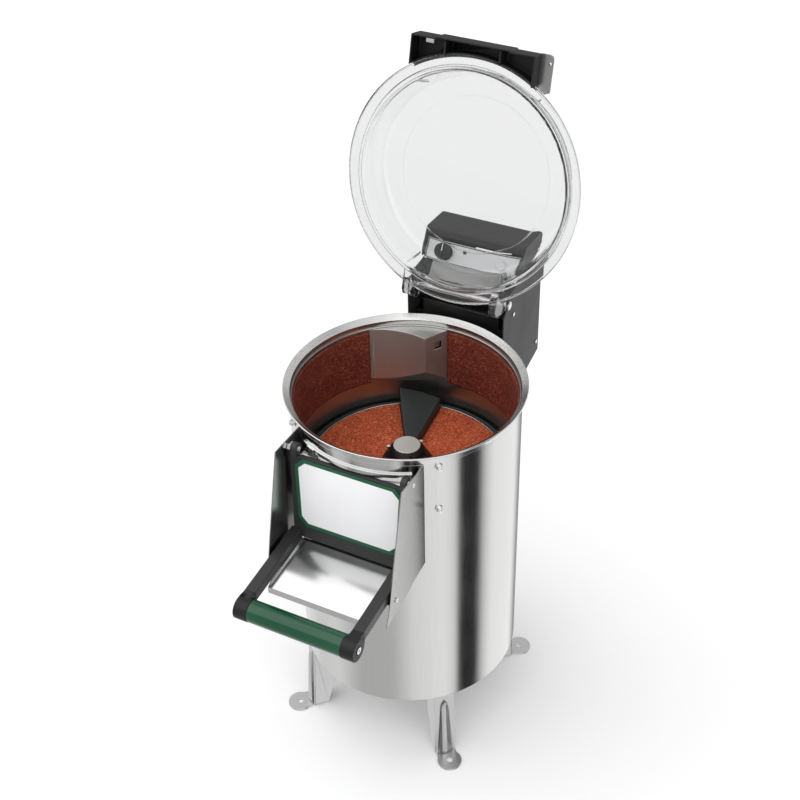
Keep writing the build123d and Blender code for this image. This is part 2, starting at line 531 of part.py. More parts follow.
def column():
    side = [(178, 684), (178, 662), (165.5, 650), (165.5, 600), (150, 596), (150, 470), (250, 492),
            (COLUMN_BACK, 508), (COLUMN_BACK, COLUMN_TOP), (249, COLUMN_TOP), (240.5, 713.8), (221.5, 688),
            (213, 686.5)]
    panel = yz_plate(side, COLUMN_IN, COLUMN_X) - cyl_z(DRUM_R, 400, 605)
    panel = panel - cyl_x(HINGE_ROD_R, COLUMN_IN - 2, COLUMN_X + 2, HINGE_Y, HINGE_Z)
    parts["column_sides"] = Compound([panel, mirrored(panel)])

    rear = block(-COLUMN_IN, COLUMN_IN, COLUMN_BACK - 2, COLUMN_BACK, 510, COLUMN_TOP)
    for row in range(5):
        rear = rear - block(-30, 30, COLUMN_BACK - 3, COLUMN_BACK + 1, 660 + 8 * row, 663 + 8 * row)
    rear = rear - cyl_y(9.0, COLUMN_BACK - 4, COLUMN_BACK + 2, PIPE_X, PIPE_Z)
    rear = rear - cyl_y(8.0, COLUMN_BACK - 4, COLUMN_BACK + 2, CABLE_X, CABLE_Z)
    parts["column_rear_cover"] = rear

    floor = yz_plate([(171.5, 474.8), (250, 492), (306, 507.5), (306, 509.5), (250, 494), (171.5, 476.8)],
                     -COLUMN_IN, COLUMN_IN)
    saddle = block(-74, 74, 150, 176, 520, 523) + block(-74, 74, 150, 176, 585, 588)
    for x0, x1 in ((-COLUMN_IN, -COLUMN_IN + 3), (COLUMN_IN - 3, COLUMN_IN)):
        saddle = saddle + block(x0, x1, 150, 176, 472, 588)
    below = yz_plate([(140, 470), (180, 478.6), (180, 460), (140, 460)], -90, 90)
    saddle = saddle - below - cyl_z(DRUM_R, 440, 620) - cyl_y(9, 140, 190, PIPE_X, PIPE_Z)
    parts["column_bottom"] = floor + saddle

    # front wall: lower box behind the rim, ledge, recess behind the lid lugs, and a lean up to the panel
    lower = [(185.5, 600), (185.5, 627), (207, 627), (207, 668), (218.3, 684.2), (220, 683), (209, 667.5),
             (209, 600)]
    wall = yz_plate(lower, -COLUMN_IN, COLUMN_IN) - block(-77, 77, 187.5, 207, 590, 625)
    for x0, x1 in ((-COLUMN_IN - 1, 2 - LUG_X0), (LUG_X0 - 2, COLUMN_IN + 1)):
        wall = wall - block(x0, x1, 184, 200, 614, 628)
    ridge = block(-64, 64, 185.5, 190, 627, 634) + cyl_x(2.5, -64, 64, 188.0, 634)
    parts["column_front_wall"] = wall + ridge
    apron = [(215.4, 687.2), (202, 668), (202, 660), (207, 660), (207, 658.5), (200.5, 658.5), (200.5, 668.5),
             (214.2, 688)]
    parts["column_apron"] = yz_plate(apron, -62, 62)

    hood_side = [(304, COLUMN_TOP), (308, 722), (303, 729.5), (296, 731), (245, 734), (240, 733), (236.5, 724),
                 (239.5, 721), (244, 722), (246, COLUMN_TOP)]
    hood = yz_plate(hood_side, -82.5, 82.5)
    hollow = yz_plate([(304, COLUMN_TOP - 1), (304, 721), (300, 727.5), (248, 730.5), (247, 722),
                       (248.5, COLUMN_TOP - 1)], -79.5, 79.5)
    hood = hood - hollow
    jaw = [(249, COLUMN_TOP + 0.1), (247, 731), (240, 731), panel_point(35, 7), panel_point(9, 7),
           panel_point(4, 4), panel_point(2.5, 0), (221.5, 688.2), (240.5, 714)]
    for x0 in (-82.5, 79.5):
        hood = hood + yz_plate(jaw, x0, x0 + 3.0)
    parts["hood"] = hood

    def panel_slab(x, u0, u1, w0, w1):
        """A plate in the plane of the control panel: u runs up the panel, w stands out of it."""
        low = Vector(0, *PANEL_LOW)
        up = (Vector(0, *PANEL_TOP) - low).normalized()
        plane = Plane(low, x_dir=(1, 0, 0), z_dir=Vector(1, 0, 0).cross(up))
        return plane * Pos(0, (u0 + u1) / 2, (w0 + w1) / 2) * Box(2 * x, u1 - u0, w1 - w0)

    base = panel_slab(78.5, 0.0, 36.0, -2.0, 0.0)
    parts["control_panel"] = base - KNOB_AT * Cylinder(4.5, 20) - BUTTON_AT * Cylinder(8.1, 20) \
        - LAMP_AT * Cylinder(3.0, 20)


def panel_point(u, w):
    """(y, z) of a point u up the control panel and w out of its face."""
    dy, dz = PANEL_TOP[0] - PANEL_LOW[0], PANEL_TOP[1] - PANEL_LOW[1]
    run = math.hypot(dy, dz)
    return (PANEL_LOW[0] + (u * dy - w * dz) / run, PANEL_LOW[1] + (u * dz + w * dy) / run)


def panel_place(x, u):
    """Location on the control panel's face, with Z standing out of it."""
    low = Vector(0, *PANEL_LOW)
    up = (Vector(0, *PANEL_TOP) - low).normalized()
    spot = low + up * u + Vector(x, 0, 0)
    return Plane(spot, x_dir=(1, 0, 0), z_dir=Vector(1, 0, 0).cross(up)).location


KNOB_AT = panel_place(-47.0, 18.0)
BUTTON_AT = panel_place(50.0, 17.0)
LAMP_AT = panel_place(-14.0, 25.0)


def controls():
    skirt = KNOB_AT * Pos(0, 0, 2.0) * Cylinder(14.5, 3.0)
    body = KNOB_AT * Pos(0, 0, 8.0) * Cylinder(12.5, 9.0)
    grip = KNOB_AT * Pos(0, 0, 10.0) * Box(8.0, 25.0, 6.0)
    shaft = KNOB_AT * Pos(0, 0, -3.0) * Cylinder(3.0, 10.0)
    parts["knob"] = skirt + body + (grip & (KNOB_AT * Pos(0, 0, 8.0) * Cylinder(12.4, 12.0))) + shaft
    parts["timer_unit"] = KNOB_AT * Pos(0, 0, -20.0) * Box(36, 30, 20)

    bezel = BUTTON_AT * Pos(0, 0, -3.0) * (Cylinder(8.0, 10.0) - Cylinder(6.6, 12.0)) \
        + BUTTON_AT * Pos(0, 0, -9.5) * (Cylinder(8.0, 5.0) - Cylinder(6.6, 6.0)) \
        + BUTTON_AT * Pos(0, 0, 1.0) * (Cylinder(9.6, 2.0) - Cylinder(6.6, 4.0))
    parts["start_button"] = BUTTON_AT * Pos(0, 0, -1.5) * Cylinder(6.55, 10.0)
    parts["start_switch"] = bezel + BUTTON_AT * Pos(0, 0, -19.5) * Box(22, 18, 18)
    parts["indicator_lamp"] = LAMP_AT * Pos(0, 0, -1.6) * Cylinder(3.0, 6.0)


def inside_column():
    parts["lid_switch"] = block(-60, -36, 192, 206, 602, 624)
    nut = cyl_y(13.0, COLUMN_BACK, COLUMN_BACK + 5, CABLE_X, CABLE_Z)
    neck = cyl_y(9.0, COLUMN_BACK + 5, COLUMN_BACK + 18, CABLE_X, CABLE_Z)
    tail = cyl_y(8.0, COLUMN_BACK - 10, COLUMN_BACK, CABLE_X, CABLE_Z)
    bore = cyl_y(4.5, COLUMN_BACK - 12, COLUMN_BACK + 20, CABLE_X, CABLE_Z)
    parts["cable_gland"] = nut + neck + tail - bore
    for x in (-70, 70):
        for z in (520, 610, 700):
            small_screws.append(cyl_y(3.6, COLUMN_BACK, COLUMN_BACK + 2.0, x, z))
    for x0, x1 in ((-83, -81), (81, 83)):
        for y, z in ((296, 530), (296, 700), (200, 640)):
            small_screws.append(cyl_x(3.2, x0, x1, y, z))
    rod = cyl_x(HINGE_ROD_R, -83, 83, HINGE_Y, HINGE_Z)
    for x0, x1 in ((-COLUMN_X - 1.2, -COLUMN_X), (COLUMN_X, COLUMN_X + 1.2)):
        rod = rod + cyl_x(6.6, x0, x1, HINGE_Y, HINGE_Z)
    parts["hinge_rod"] = rod
    buffer = cyl_x(5.5, 64.5, COLUMN_IN, *LID_STOP)
    parts["lid_stops"] = Compound([buffer, mirrored(buffer)])


# ---- lid -------------------------------------------------------------------------------------------


def lid_place(solid):
    """Moves a piece from the closed lid's own frame (flange centre at the origin) to the open pose."""
    closed = Location((0, -HINGE_Y, -HINGE_Z + LID_CLOSED_Z))
    return solid.moved(Location((0, HINGE_Y, HINGE_Z)) * Location((0, 0, 0), (-LID_OPEN, 0, 0)) * closed)


def lid():
    dome = turned([
        (180.0, 0), (LID_R, 0), (LID_R, 6.2), (181.6, 7.4), (168.5, 8.2), (167.0, 10.0), (162.5, 10.6),
        (161.0, 12.0), (153.5, 44.0), (151.0, 50.5), (146.5, 54.4), (140.0, DOME_TOP), (0, DOME_TOP),
        (0, DOME_TOP - 2.6), (139.5, DOME_TOP - 2.6), (145.0, 51.9), (148.6, 48.9), (150.8, 43.4),
        (157.8, 12.0), (158.6, 9.5), (161.0, 5.0), (161.0, -1.0), (165.5, -1.0), (165.5, 4.7),
        (179.4, 4.7), (180.0, 4.0),
    ])
    dome = dome + ring(116.8, 118.4, DOME_TOP - 3.2, DOME_TOP - 2.6)
    for angle in (55.5, 124.5, -62.0, -118.0):
        rib = Rot(0, 0, -angle) * block(149.0, 158.4, -0.9, 0.9, 9.0, 46.0)
        dome = dome + (rib - turned([(0, 0), (157.9, 0), (157.9, 11.0), (149.9, 45.0), (149.9, 60), (0, 60)]))
    lug = [(150, 8.0), (157, 4.7), (182, 3.2), (190.5, 8.0), (193.5, 15.0), (193.2, 30.0), (192.1, 47.0),
           (190.2, 53.6), (183.6, 56.8), (177.0, 54.0), (174.8, 47.0), (172.0, 24.0), (166.0, 14.0),
           (152.0, 10.4)]
    hollow = [(172, 7.5), (188.0, 11.0), (191.2, 16.0), (190.9, 30.0), (189.4, 38.0), (176.2, 38.0),
              (174.0, 24.0), (170.0, 14.0)]
    for flip in (False, True):
        ear = yz_plate(lug, LUG_X0, LUG_X1) - yz_plate(hollow, LUG_X0 + 2.5, LUG_X1 - 2.5)
        ear = ear - cyl_z(160.0, -10, 60)
        if flip:
            ear = ear + cyl_x(7.5, LUG_X0, LUG_X1, *BUFFER_AT)
        ear = ear - cyl_x(HINGE_ROD_R + RUN_GAP, 60, 82, HINGE_Y, HINGE_Z - LID_CLOSED_Z)
        dome = dome + (mirrored(ear) if flip else ear)
    parts["lid_dome"] = lid_place(dome)

    # handle: a shallow black trough, open underneath, that clips over the flange
    edge = LID_R + 0.2
    top, low = 18.0, -11.0

    def trough(x, y_out, z0, z1, r_in):
        return block(-x, x, -y_out, -140, z0, z1) - cyl_z(r_in, z0 - 1, z1 + 1)

    outer = trough(94.5, 200.0, low, top, edge) + block(-57, 57, -201.8, -190, low, top)
    clip = trough(94.5, 200.0, 8.6, top, 177.5) - trough(94.5, 200.0, 8.6, top, edge)
    inner = trough(92.0, 197.5, low - 1, top - 2.5, edge)
    inner = inner + block(-54.5, 54.5, -199.3, -190, low - 1, top - 2.5)
    web = block(-100, 100, -205, -150, low, top) & ring(edge, edge + 2.5, low + 9, top)
    shell = outer + clip - inner
    ribs = [block(x - 1.5, x + 1.5, -198, -168, low + 2, top - 1) - cyl_z(edge, low - 1, top + 1)
            for x in (-42.0, 42.0)]
    handle = shell + (web & trough(94.5, 200.0, low, top, 150))
    for rib in ribs:
        handle = handle + rib
    plate = [(92.0, -202.0), (108.0, -202.0), (112.5, -200.0), (114.0, -196.0), (114.0, -150.0),
             (104.0, -146.0), (97.0, -150.5), (92.0, -170.0)]
    striker = xy_plate(plate, 9.5, 11.5) - cyl_z(2.5, 5, 15, 109, -189)
    striker = striker - cyl_z(183.2, -20, 8.8)
    parts["lid_striker_plate"] = lid_place(striker - block(-100, 94.6, -210, -100, 0, 30))
    parts["lid_handle"] = lid_place(handle)
    parts["lid_magnet"] = lid_place(block(-78, -66, -194, -188.5, 6, 15.4))


def build():
    drum()
    deflector()
    drain()
    legs()
    drive()
    rotating_plate()
    discharge()
    door()
    column()
    controls()
    inside_column()
    lid()
    parts["hex_bolts"] = Compound(hex_bolts)
    parts["small_screws"] = Compound(small_screws)


build()
os.makedirs("parts", exist_ok=True)
for name, shape in parts.items():
    export_step(shape, "parts/" + name + ".step")
print(len(parts), "nodes written")
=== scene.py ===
import json
import math

import bmesh
import bpy
import numpy as np
from mathutils import Matrix, Vector

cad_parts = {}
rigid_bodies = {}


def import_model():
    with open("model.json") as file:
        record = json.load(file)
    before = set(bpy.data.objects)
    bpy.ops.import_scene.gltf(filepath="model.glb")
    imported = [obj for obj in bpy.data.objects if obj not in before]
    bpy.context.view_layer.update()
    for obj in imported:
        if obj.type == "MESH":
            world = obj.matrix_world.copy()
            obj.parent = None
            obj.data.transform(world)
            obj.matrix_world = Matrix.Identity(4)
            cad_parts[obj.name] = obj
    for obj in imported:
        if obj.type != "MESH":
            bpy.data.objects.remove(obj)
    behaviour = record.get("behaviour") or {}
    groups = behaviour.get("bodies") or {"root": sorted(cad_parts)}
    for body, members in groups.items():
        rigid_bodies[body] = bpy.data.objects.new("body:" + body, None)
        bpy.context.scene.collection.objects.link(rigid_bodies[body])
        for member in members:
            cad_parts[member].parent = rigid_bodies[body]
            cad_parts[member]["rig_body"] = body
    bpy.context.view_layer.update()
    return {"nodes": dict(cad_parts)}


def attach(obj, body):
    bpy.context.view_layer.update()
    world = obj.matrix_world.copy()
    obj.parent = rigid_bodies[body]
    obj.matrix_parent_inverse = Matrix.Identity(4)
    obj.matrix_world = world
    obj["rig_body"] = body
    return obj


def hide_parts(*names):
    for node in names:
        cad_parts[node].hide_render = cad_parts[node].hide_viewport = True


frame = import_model()
nodes = frame["nodes"]

# ---- places shared with the CAD, in metres ------------------------------------------------------
HINGE = Vector((0.0, 0.1836, 0.6648))
LID_OPEN = math.radians(103.8)
LID_FLANGE_Z = 0.616
PANEL_LOW = Vector((0.0, 0.216, 0.688))
PANEL_TOP = Vector((0.0, 0.238, 0.719))
KNOB_X, KNOB_U = -0.047, 0.018
DOOR_TOP_Y, DOOR_TOP_Z, DOOR_LEAN = -0.1754, 0.580, 0.0652
PLATE_TOP = 0.462
GRIT_TOP = 0.465
LIFTERS = (109.0, -11.0, -131.0)
LEG_ANGLES = (-45, 45, 135, -135)

LEG_FACE_R = 0.1790         # outer face of a leg at the floor, and its lean inwards per metre of height
LEG_FACE_LEAN = 0.0060 / 0.126
RIB_FOOT, RIB_LENGTH = 0.004, 0.112
RIB_ROWS, RIB_COLUMNS = 17, 13
WELD = 4e-6                 # CAD vertices closer than this are one

# lid frame: flange centre at the origin, dome along +Z, hinge side at +Y
lid_pose = (Matrix.Translation(HINGE) @ Matrix.Rotation(-LID_OPEN, 4, "X")
            @ Matrix.Translation((0.0, -HINGE.y, LID_FLANGE_Z - HINGE.z)))
panel_up = (PANEL_TOP - PANEL_LOW).normalized()
panel_out = Vector((1, 0, 0)).cross(panel_up)


# ---- camera -------------------------------------------------------------------------------------
def make_camera():
    azimuth, elevation, roll = (math.radians(a) for a in (28.16, 37.17, -1.38))
    target, distance = Vector((-0.0099, 0.0, 0.5829)), 2.1365
    right = Vector((math.cos(azimuth), math.sin(azimuth), 0.0))
    back = Vector((math.sin(azimuth) * math.cos(elevation), -math.cos(azimuth) * math.cos(elevation),
                   math.sin(elevation)))
    up = back.cross(right)
    x_axis = right * math.cos(roll) + up * math.sin(roll)
    y_axis = up * math.cos(roll) - right * math.sin(roll)
    data = bpy.data.cameras.new("camera")
    data.lens, data.sensor_width = 65.5, 36.0
    data.clip_start, data.clip_end = 0.05, 60.0
    camera = bpy.data.objects.new("camera", data)
    turn = Matrix((x_axis, y_axis, back)).transposed().to_4x4()
    camera.matrix_world = Matrix.Translation(target + back * distance) @ turn
    bpy.context.scene.collection.objects.link(camera)
    bpy.context.scene.camera = camera


# ---- node helpers ---------------------------------------------------------------------------------
class Shader:
    """A material's node tree with short calls for the nodes used here."""

    def __init__(self, name, **values):
        self.material = bpy.data.materials.new(name)
        self.material.use_nodes = True
        self.tree = self.material.node_tree
        self.surface = self.tree.nodes["Principled BSDF"]
        for socket, value in values.items():
            self.surface.inputs[socket.replace("_", " ")].default_value = value

    def add(self, kind, inputs=None, **settings):
        node = self.tree.nodes.new("ShaderNode" + kind)
        for key, value in settings.items():
            setattr(node, key, value)
        for key, value in (inputs or {}).items():
            if isinstance(value, bpy.types.NodeSocket):
                self.tree.links.new(value, node.inputs[key])
            else:
                node.inputs[key].default_value = value
        return node

    def to(self, output, socket):
        self.tree.links.new(output, self.surface.inputs[socket])

    def position(self, scale=(1, 1, 1)):
        place = self.add("TexCoord").outputs["Object"]
        return self.add("Mapping", {"Vector": place, "Scale": scale}).outputs["Vector"]

    def round_position(self, across, around, along):
        """Coordinates that run round the drum's axis, so that grain follows the turning direction."""
        split = self.add("SeparateXYZ", {"Vector": self.position()})
        x, y, z = (split.outputs[i] for i in range(3))
        flat = self.add("CombineXYZ", {"X": x, "Y": y})
        radius = self.add("VectorMath", {0: flat.outputs[0]}, operation="LENGTH").outputs["Value"]
        angle = self.add("Math", {0: y, 1: x}, operation="ARCTAN2").outputs[0]
        joined = self.add("CombineXYZ", {"X": radius, "Y": angle, "Z": z}).outputs[0]
        return self.add("Mapping", {"Vector": joined, "Scale": (across, around, along)}).outputs["Vector"]

    def noise(self, vector, scale, detail=4.0, rough=0.6):
        return self.add("TexNoise", {"Vector": vector, "Scale": scale, "Detail": detail,
                                     "Roughness": rough}).outputs["Fac"]

    def ramp(self, value, stops):
        node = self.add("ValToRGB", {"Fac": value})
        ramp = node.color_ramp
        while len(ramp.elements) < len(stops):
            ramp.elements.new(0.5)
        for element, (place, colour) in zip(ramp.elements, stops):
            element.position, element.color = place, (*colour, 1.0)
        return node.outputs["Color"]

    def span(self, value, low, high, start=0.3, end=0.7):
        return self.add("MapRange", {"Value": value, "From Min": start, "From Max": end, "To Min": low,
                                     "To Max": high}).outputs["Result"]

    def bump(self, height, strength, distance):
        return self.add("Bump", {"Height": height, "Strength": strength,
                                 "Distance": distance}).outputs["Normal"]


def tint(colour, factor):
    return tuple(min(1.0, c * factor) for c in colour)


def metal(name, colour, rough, grain, turned=False, grip=0.0, depth=0.00006, wear=0.1):
    """Ground or brushed metal; grain holds the noise scales, short along the brushing direction."""
    s = Shader(name, Metallic=1.0, Anisotropic=grip)
    place = s.round_position(*grain) if turned else s.position(grain)
    fine = s.noise(place, 1.0, 5.0, 0.7)
    smudge = s.noise(s.position(), 7.0, 3.0, 0.55)
    s.to(s.ramp(fine, [(0.25, tint(colour, 0.94)), (0.75, tint(colour, 1.03))]), "Base Color")
    handled = s.span(smudge, rough - wear * 0.4, rough + wear * 0.6)
    mixed = s.add("Math", {0: s.span(fine, -0.03, 0.03), 1: handled}, operation="ADD")
    s.to(mixed.outputs[0], "Roughness")
    s.to(s.bump(fine, 0.12, depth), "Normal")
    if grip:
        tangent = s.add("Tangent", direction_type="RADIAL", axis="Z")
        s.to(tangent.outputs[0], "Tangent")
    return s.material


def moulded(name, colour, rough, pitch, depth, worn=1.7, sheen=0.5, coat=0.0):
    """Moulded plastic or powder coat: fine texture, slow change of tone, paler at the edges."""
    s = Shader(name, Specular_IOR_Level=sheen, Coat_Weight=coat, Coat_Roughness=0.15)
    place = s.position()
    fine = s.noise(place, pitch, 3.0, 0.65)
    slow = s.noise(place, 11.0, 3.0, 0.6)
    tone = s.ramp(slow, [(0.3, tint(colour, 0.86)), (0.7, tint(colour, 1.16))])
    edge = s.add("NewGeometry").outputs["Pointiness"]
    share = s.span(edge, 0.0, 0.55, 0.52, 0.60)
    mix = s.add("Mix", {"Factor": share}, data_type="RGBA")
    s.tree.links.new(tone, mix.inputs[6])
    mix.inputs[7].default_value = (*tint(colour, worn), 1.0)
    s.to(mix.outputs[2], "Base Color")
    s.to(s.span(slow, rough - 0.05, rough + 0.07), "Roughness")
    s.to(s.bump(fine, 0.5, depth), "Normal")
    return s.material


def grit(name, dark, mid, painted_glint, pitch):
    """Bonded abrasive: every grain its own tone; the palest grains carry a painted glint, a pale colour in
    place of their highlights.
    """
    s = Shader(name, Specular_IOR_Level=0.35)
    place = s.position()
    cells = s.add("TexVoronoi", {"Vector": place, "Scale": pitch, "Randomness": 1.0}, feature="F1")
    tone = s.add("SeparateColor", {"Color": cells.outputs["Color"]}).outputs[0]
    patch = s.noise(place, 24.0, 3.0, 0.6)
    speck = s.noise(place, pitch * 0.8, 2.0, 0.7)
    both = s.add("Math", {0: tone, 1: s.span(patch, -0.10, 0.10)}, operation="ADD").outputs[0]
    # the last ramp stop is a painted glint: pale grains standing in for highlights
    grains = s.ramp(both, [(0.0, dark), (0.45, mid), (0.82, tint(mid, 1.25)), (1.0, painted_glint)])
    # random dark flecks among the grains, about half as dark as the darkest grain
    dark_flecks = s.add("Mix", {"Factor": s.span(speck, 0.0, 0.75, 0.56, 0.70)}, data_type="RGBA")
    s.tree.links.new(grains, dark_flecks.inputs[6])
    dark_flecks.inputs[7].default_value = (*tint(dark, 0.55), 1.0)
    s.to(dark_flecks.outputs[2], "Base Color")
    s.to(s.span(tone, 0.62, 0.92, 0.0, 1.0), "Roughness")
    s.to(s.bump(cells.outputs["Distance"], 0.7, 0.0007), "Normal")
    return s.material


def clear_plastic(name, colour, rough, ior):
    """Glass-like plastic that lets the lamps' light through, so that it throws a pale shadow."""
    s = Shader(name, Base_Color=(*colour, 1.0), IOR=ior, Transmission_Weight=1.0)
    haze = s.noise(s.position(), 16.0, 3.0, 0.55)
    s.to(s.span(haze, rough, rough + 0.035), "Roughness")
    s.to(s.bump(haze, 0.05, 0.0004), "Normal")
    clear = s.add("BsdfTransparent", {"Color": (*tint(colour, 1.22), 1.0)})
    lamps = s.add("LightPath").outputs["Is Shadow Ray"]
    output = s.tree.nodes["Material Output"]
    choose = s.add("MixShader", {0: lamps, 1: s.surface.outputs[0], 2: clear.outputs[0]})
    s.tree.links.new(choose.outputs[0], output.inputs["Surface"])
    return s.material


def film(name, colour, rough):
    """Printed film on a plate, with faint unevenness and handling marks."""
    s = Shader(name, Coat_Weight=0.35, Coat_Roughness=0.12)
    place = s.position()
    slow = s.noise(place, 14.0, 3.0, 0.5)
    scuff = s.noise(s.position((60, 260, 260)), 1.0, 4.0, 0.7)
    s.to(s.ramp(slow, [(0.3, tint(colour, 0.955)), (0.7, colour)]), "Base Color")
    s.to(s.span(scuff, rough, rough + 0.12), "Roughness")
    s.to(s.bump(slow, 0.08, 0.0002), "Normal")
    return s.material


drum_steel = metal("drum_steel", (0.66, 0.66, 0.655), 0.15, (900, 900, 12), grip=0.20, depth=0.00002,
                   wear=0.04)
rim_steel = metal("rim_steel", (0.70, 0.695, 0.68), 0.22, (1100, 2.0, 1100), turned=True, depth=0.00001)
chamber_steel = metal("chamber_steel", (0.40, 0.40, 0.39), 0.30, (900, 1.2, 900), turned=True, depth=0.00002)
deflector_steel = metal("deflector_steel", (0.60, 0.60, 0.58), 0.48, (600, 600, 30), depth=0.00003)
plate_steel = metal("sheet_steel", (0.40, 0.40, 0.395), 0.24, (800, 800, 16), depth=0.00002)
tray_steel = metal("tray_steel", (0.62, 0.62, 0.62), 0.17, (700, 25, 25), depth=0.00002)
leg_steel = metal("leg_steel", (0.58, 0.58, 0.58), 0.30, (500, 500, 30), depth=0.00003)
apron_steel = metal("apron_steel", (0.42, 0.42, 0.41), 0.38, (12, 700, 700))
bright_steel = metal("bright_steel", (0.78, 0.78, 0.775), 0.18, (400, 400, 400), depth=0.00003)
cap_steel = metal("cap_steel", (0.66, 0.64, 0.60), 0.34, (900, 900, 60), wear=0.2)
inner_steel = metal("inner_steel", (0.50, 0.50, 0.50), 0.40, (500, 500, 500))
cast_metal = moulded("cast_paint", (0.16, 0.17, 0.18), 0.55, 700.0, 0.0004)
alloy_metal = metal("alloy", (0.62, 0.62, 0.63), 0.30, (900, 2.0, 900), turned=True)
black_plastic = moulded("black_plastic", (0.0060, 0.0060, 0.0063), 0.40, 2600.0, 0.00008, worn=3.0,
                        sheen=0.32)
hood_plastic = moulded("hood_plastic", (0.020, 0.020, 0.0205), 0.44, 2200.0, 0.00010, worn=2.2, sheen=0.35)
lifter_plastic = moulded("lifter_plastic", (0.024, 0.029, 0.028), 0.48, 1500.0, 0.00012, worn=2.2, sheen=0.4)
charcoal = moulded("charcoal_coat", (0.022, 0.022, 0.023), 0.48, 2400.0, 0.00010, worn=2.0, sheen=0.35)
arm_coat = moulded("arm_coat", (0.016, 0.016, 0.0165), 0.36, 2600.0, 0.00006, worn=2.6, sheen=0.4)
frame_coat = moulded("door_frame_coat", (0.022, 0.022, 0.0225), 0.42, 2400.0, 0.00008, worn=2.2, sheen=0.4)
rubber = moulded("rubber", (0.014, 0.014, 0.014), 0.70, 1800.0, 0.00020, worn=1.5)
green_tube = moulded("green_tube", (0.003, 0.062, 0.024), 0.16, 1400.0, 0.00001, worn=1.2, sheen=0.45,
                     coat=0.1)
green_film = moulded("green_film", (0.008, 0.095, 0.040), 0.38, 1600.0, 0.00004, worn=1.2)
white_film = film("white_film", (0.93, 0.93, 0.94), 0.30)
tick_ink = moulded("tick_ink", (0.020, 0.022, 0.022), 0.45, 1600.0, 0.00003, worn=1.2)
# the last colour of each grit is a painted glint on its palest grains
plate_grit = grit("plate_grit", (0.200, 0.028, 0.010), (0.500, 0.090, 0.030), (0.74, 0.24, 0.11), 620.0)
wall_grit = grit("wall_grit", (0.050, 0.008, 0.004), (0.165, 0.026, 0.012), (0.36, 0.10, 0.05), 620.0)
polycarbonate = clear_plastic("polycarbonate", (0.765, 0.768, 0.770), 0.012, 1.50)
lamp_plastic = clear_plastic("lamp_plastic", (0.10, 0.75, 0.28), 0.10, 1.49)


# ---- pieces -----------------------------------------------------------------------------------------
def finish_piece(piece, body, material, slot, *replaced):
    """Give a piece its material and its CAD body, and hide the nodes that it stands in for; the slot argument
    is not used.
    """
    if not piece.data.materials:
        piece.data.materials.append(material)
    for i in range(len(piece.data.materials)):
        piece.data.materials[i] = material
    if piece.name not in bpy.context.scene.collection.objects:
        bpy.context.scene.collection.objects.link(piece)
    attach(piece, body)
    if replaced:
        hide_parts(*replaced)
    return piece


def from_bmesh(name, bm, smooth=True):
    data = bpy.data.meshes.new(name)
    bm.to_mesh(data)
    bm.free()
    data.polygons.foreach_set("use_smooth", [smooth] * len(data.polygons))
    return bpy.data.objects.new(name, data)


def round_edges(piece, width):
    """Round every edge sharper than 30 degrees."""
    bevel = piece.modifiers.new("edge", "BEVEL")
    bevel.width = width
    bevel.segments = 2
    bevel.limit_method = "ANGLE"
    bevel.angle_limit = math.radians(30.0)
    bevel.harden_normals = True
    bevel.use_clamp_overlap = False
    return piece


def soften(node, width, material, slot):
    """The node's own shape with welded vertices, large faces joined and its edges rounded."""
    bm = bmesh.new()
    bm.from_mesh(nodes[node].data)
    bmesh.ops.remove_doubles(bm, verts=bm.verts[:], dist=WELD)
    bmesh.ops.dissolve_limit(bm, angle_limit=math.radians(0.5), verts=bm.verts[:], edges=bm.edges[:])
    piece = from_bmesh(node + "_finish", bm)
    for layer in ("custom_normal", "sharp_edge"):
        if layer in piece.data.attributes:
            piece.data.attributes.remove(piece.data.attributes[layer])
    round_edges(piece, width)
    return finish_piece(piece, nodes[node]["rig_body"], material, slot, node)


def lathe(name, profile, steps=192, axis=None, close=True):
    """A turned mesh about Z, or about the given placement's Z, from (radius, z) points in metres."""
    bm = bmesh.new()
    rings = []
    for i in range(steps):
        a = 2 * math.pi * i / steps
        rings.append([bm.verts.new((r * math.cos(a), r * math.sin(a), z)) for r, z in profile])
    count = len(profile)
    last = count if close else count - 1
    for i in range(steps):
        one, two = rings[i], rings[(i + 1) % steps]
        for j in range(last):
            k = (j + 1) % count
            bm.faces.new((one[j], two[j], two[k], one[k]))
    bmesh.ops.remove_doubles(bm, verts=bm.verts[:], dist=1e-7)
    bmesh.ops.recalc_face_normals(bm, faces=bm.faces[:])
    piece = from_bmesh(name, bm)
    if axis is not None:
        piece.data.transform(axis)
    return piece


def prism(name, outline, depth, placement, width):
    """A flat plate from a 2-D outline, standing depth out of its placement's XY plane."""
    bm = bmesh.new()
    low = [bm.verts.new((x, y, 0.0)) for x, y in outline]
    high = [bm.verts.new((x, y, depth)) for x, y in outline]
    bm.faces.new(low[::-1])
    bm.faces.new(high)
    for i in range(len(outline)):
        k = (i + 1) % len(outline)
        bm.faces.new((low[i], low[k], high[k], high[i]))
    piece = from_bmesh(name, bm)
    piece.data.transform(placement)
    return round_edges(piece, width)


def basis(origin, x_axis, z_axis):
    y_axis = z_axis.cross(x_axis)
    return Matrix.Translation(origin) @ Matrix((x_axis, y_axis, z_axis)).transposed().to_4x4()


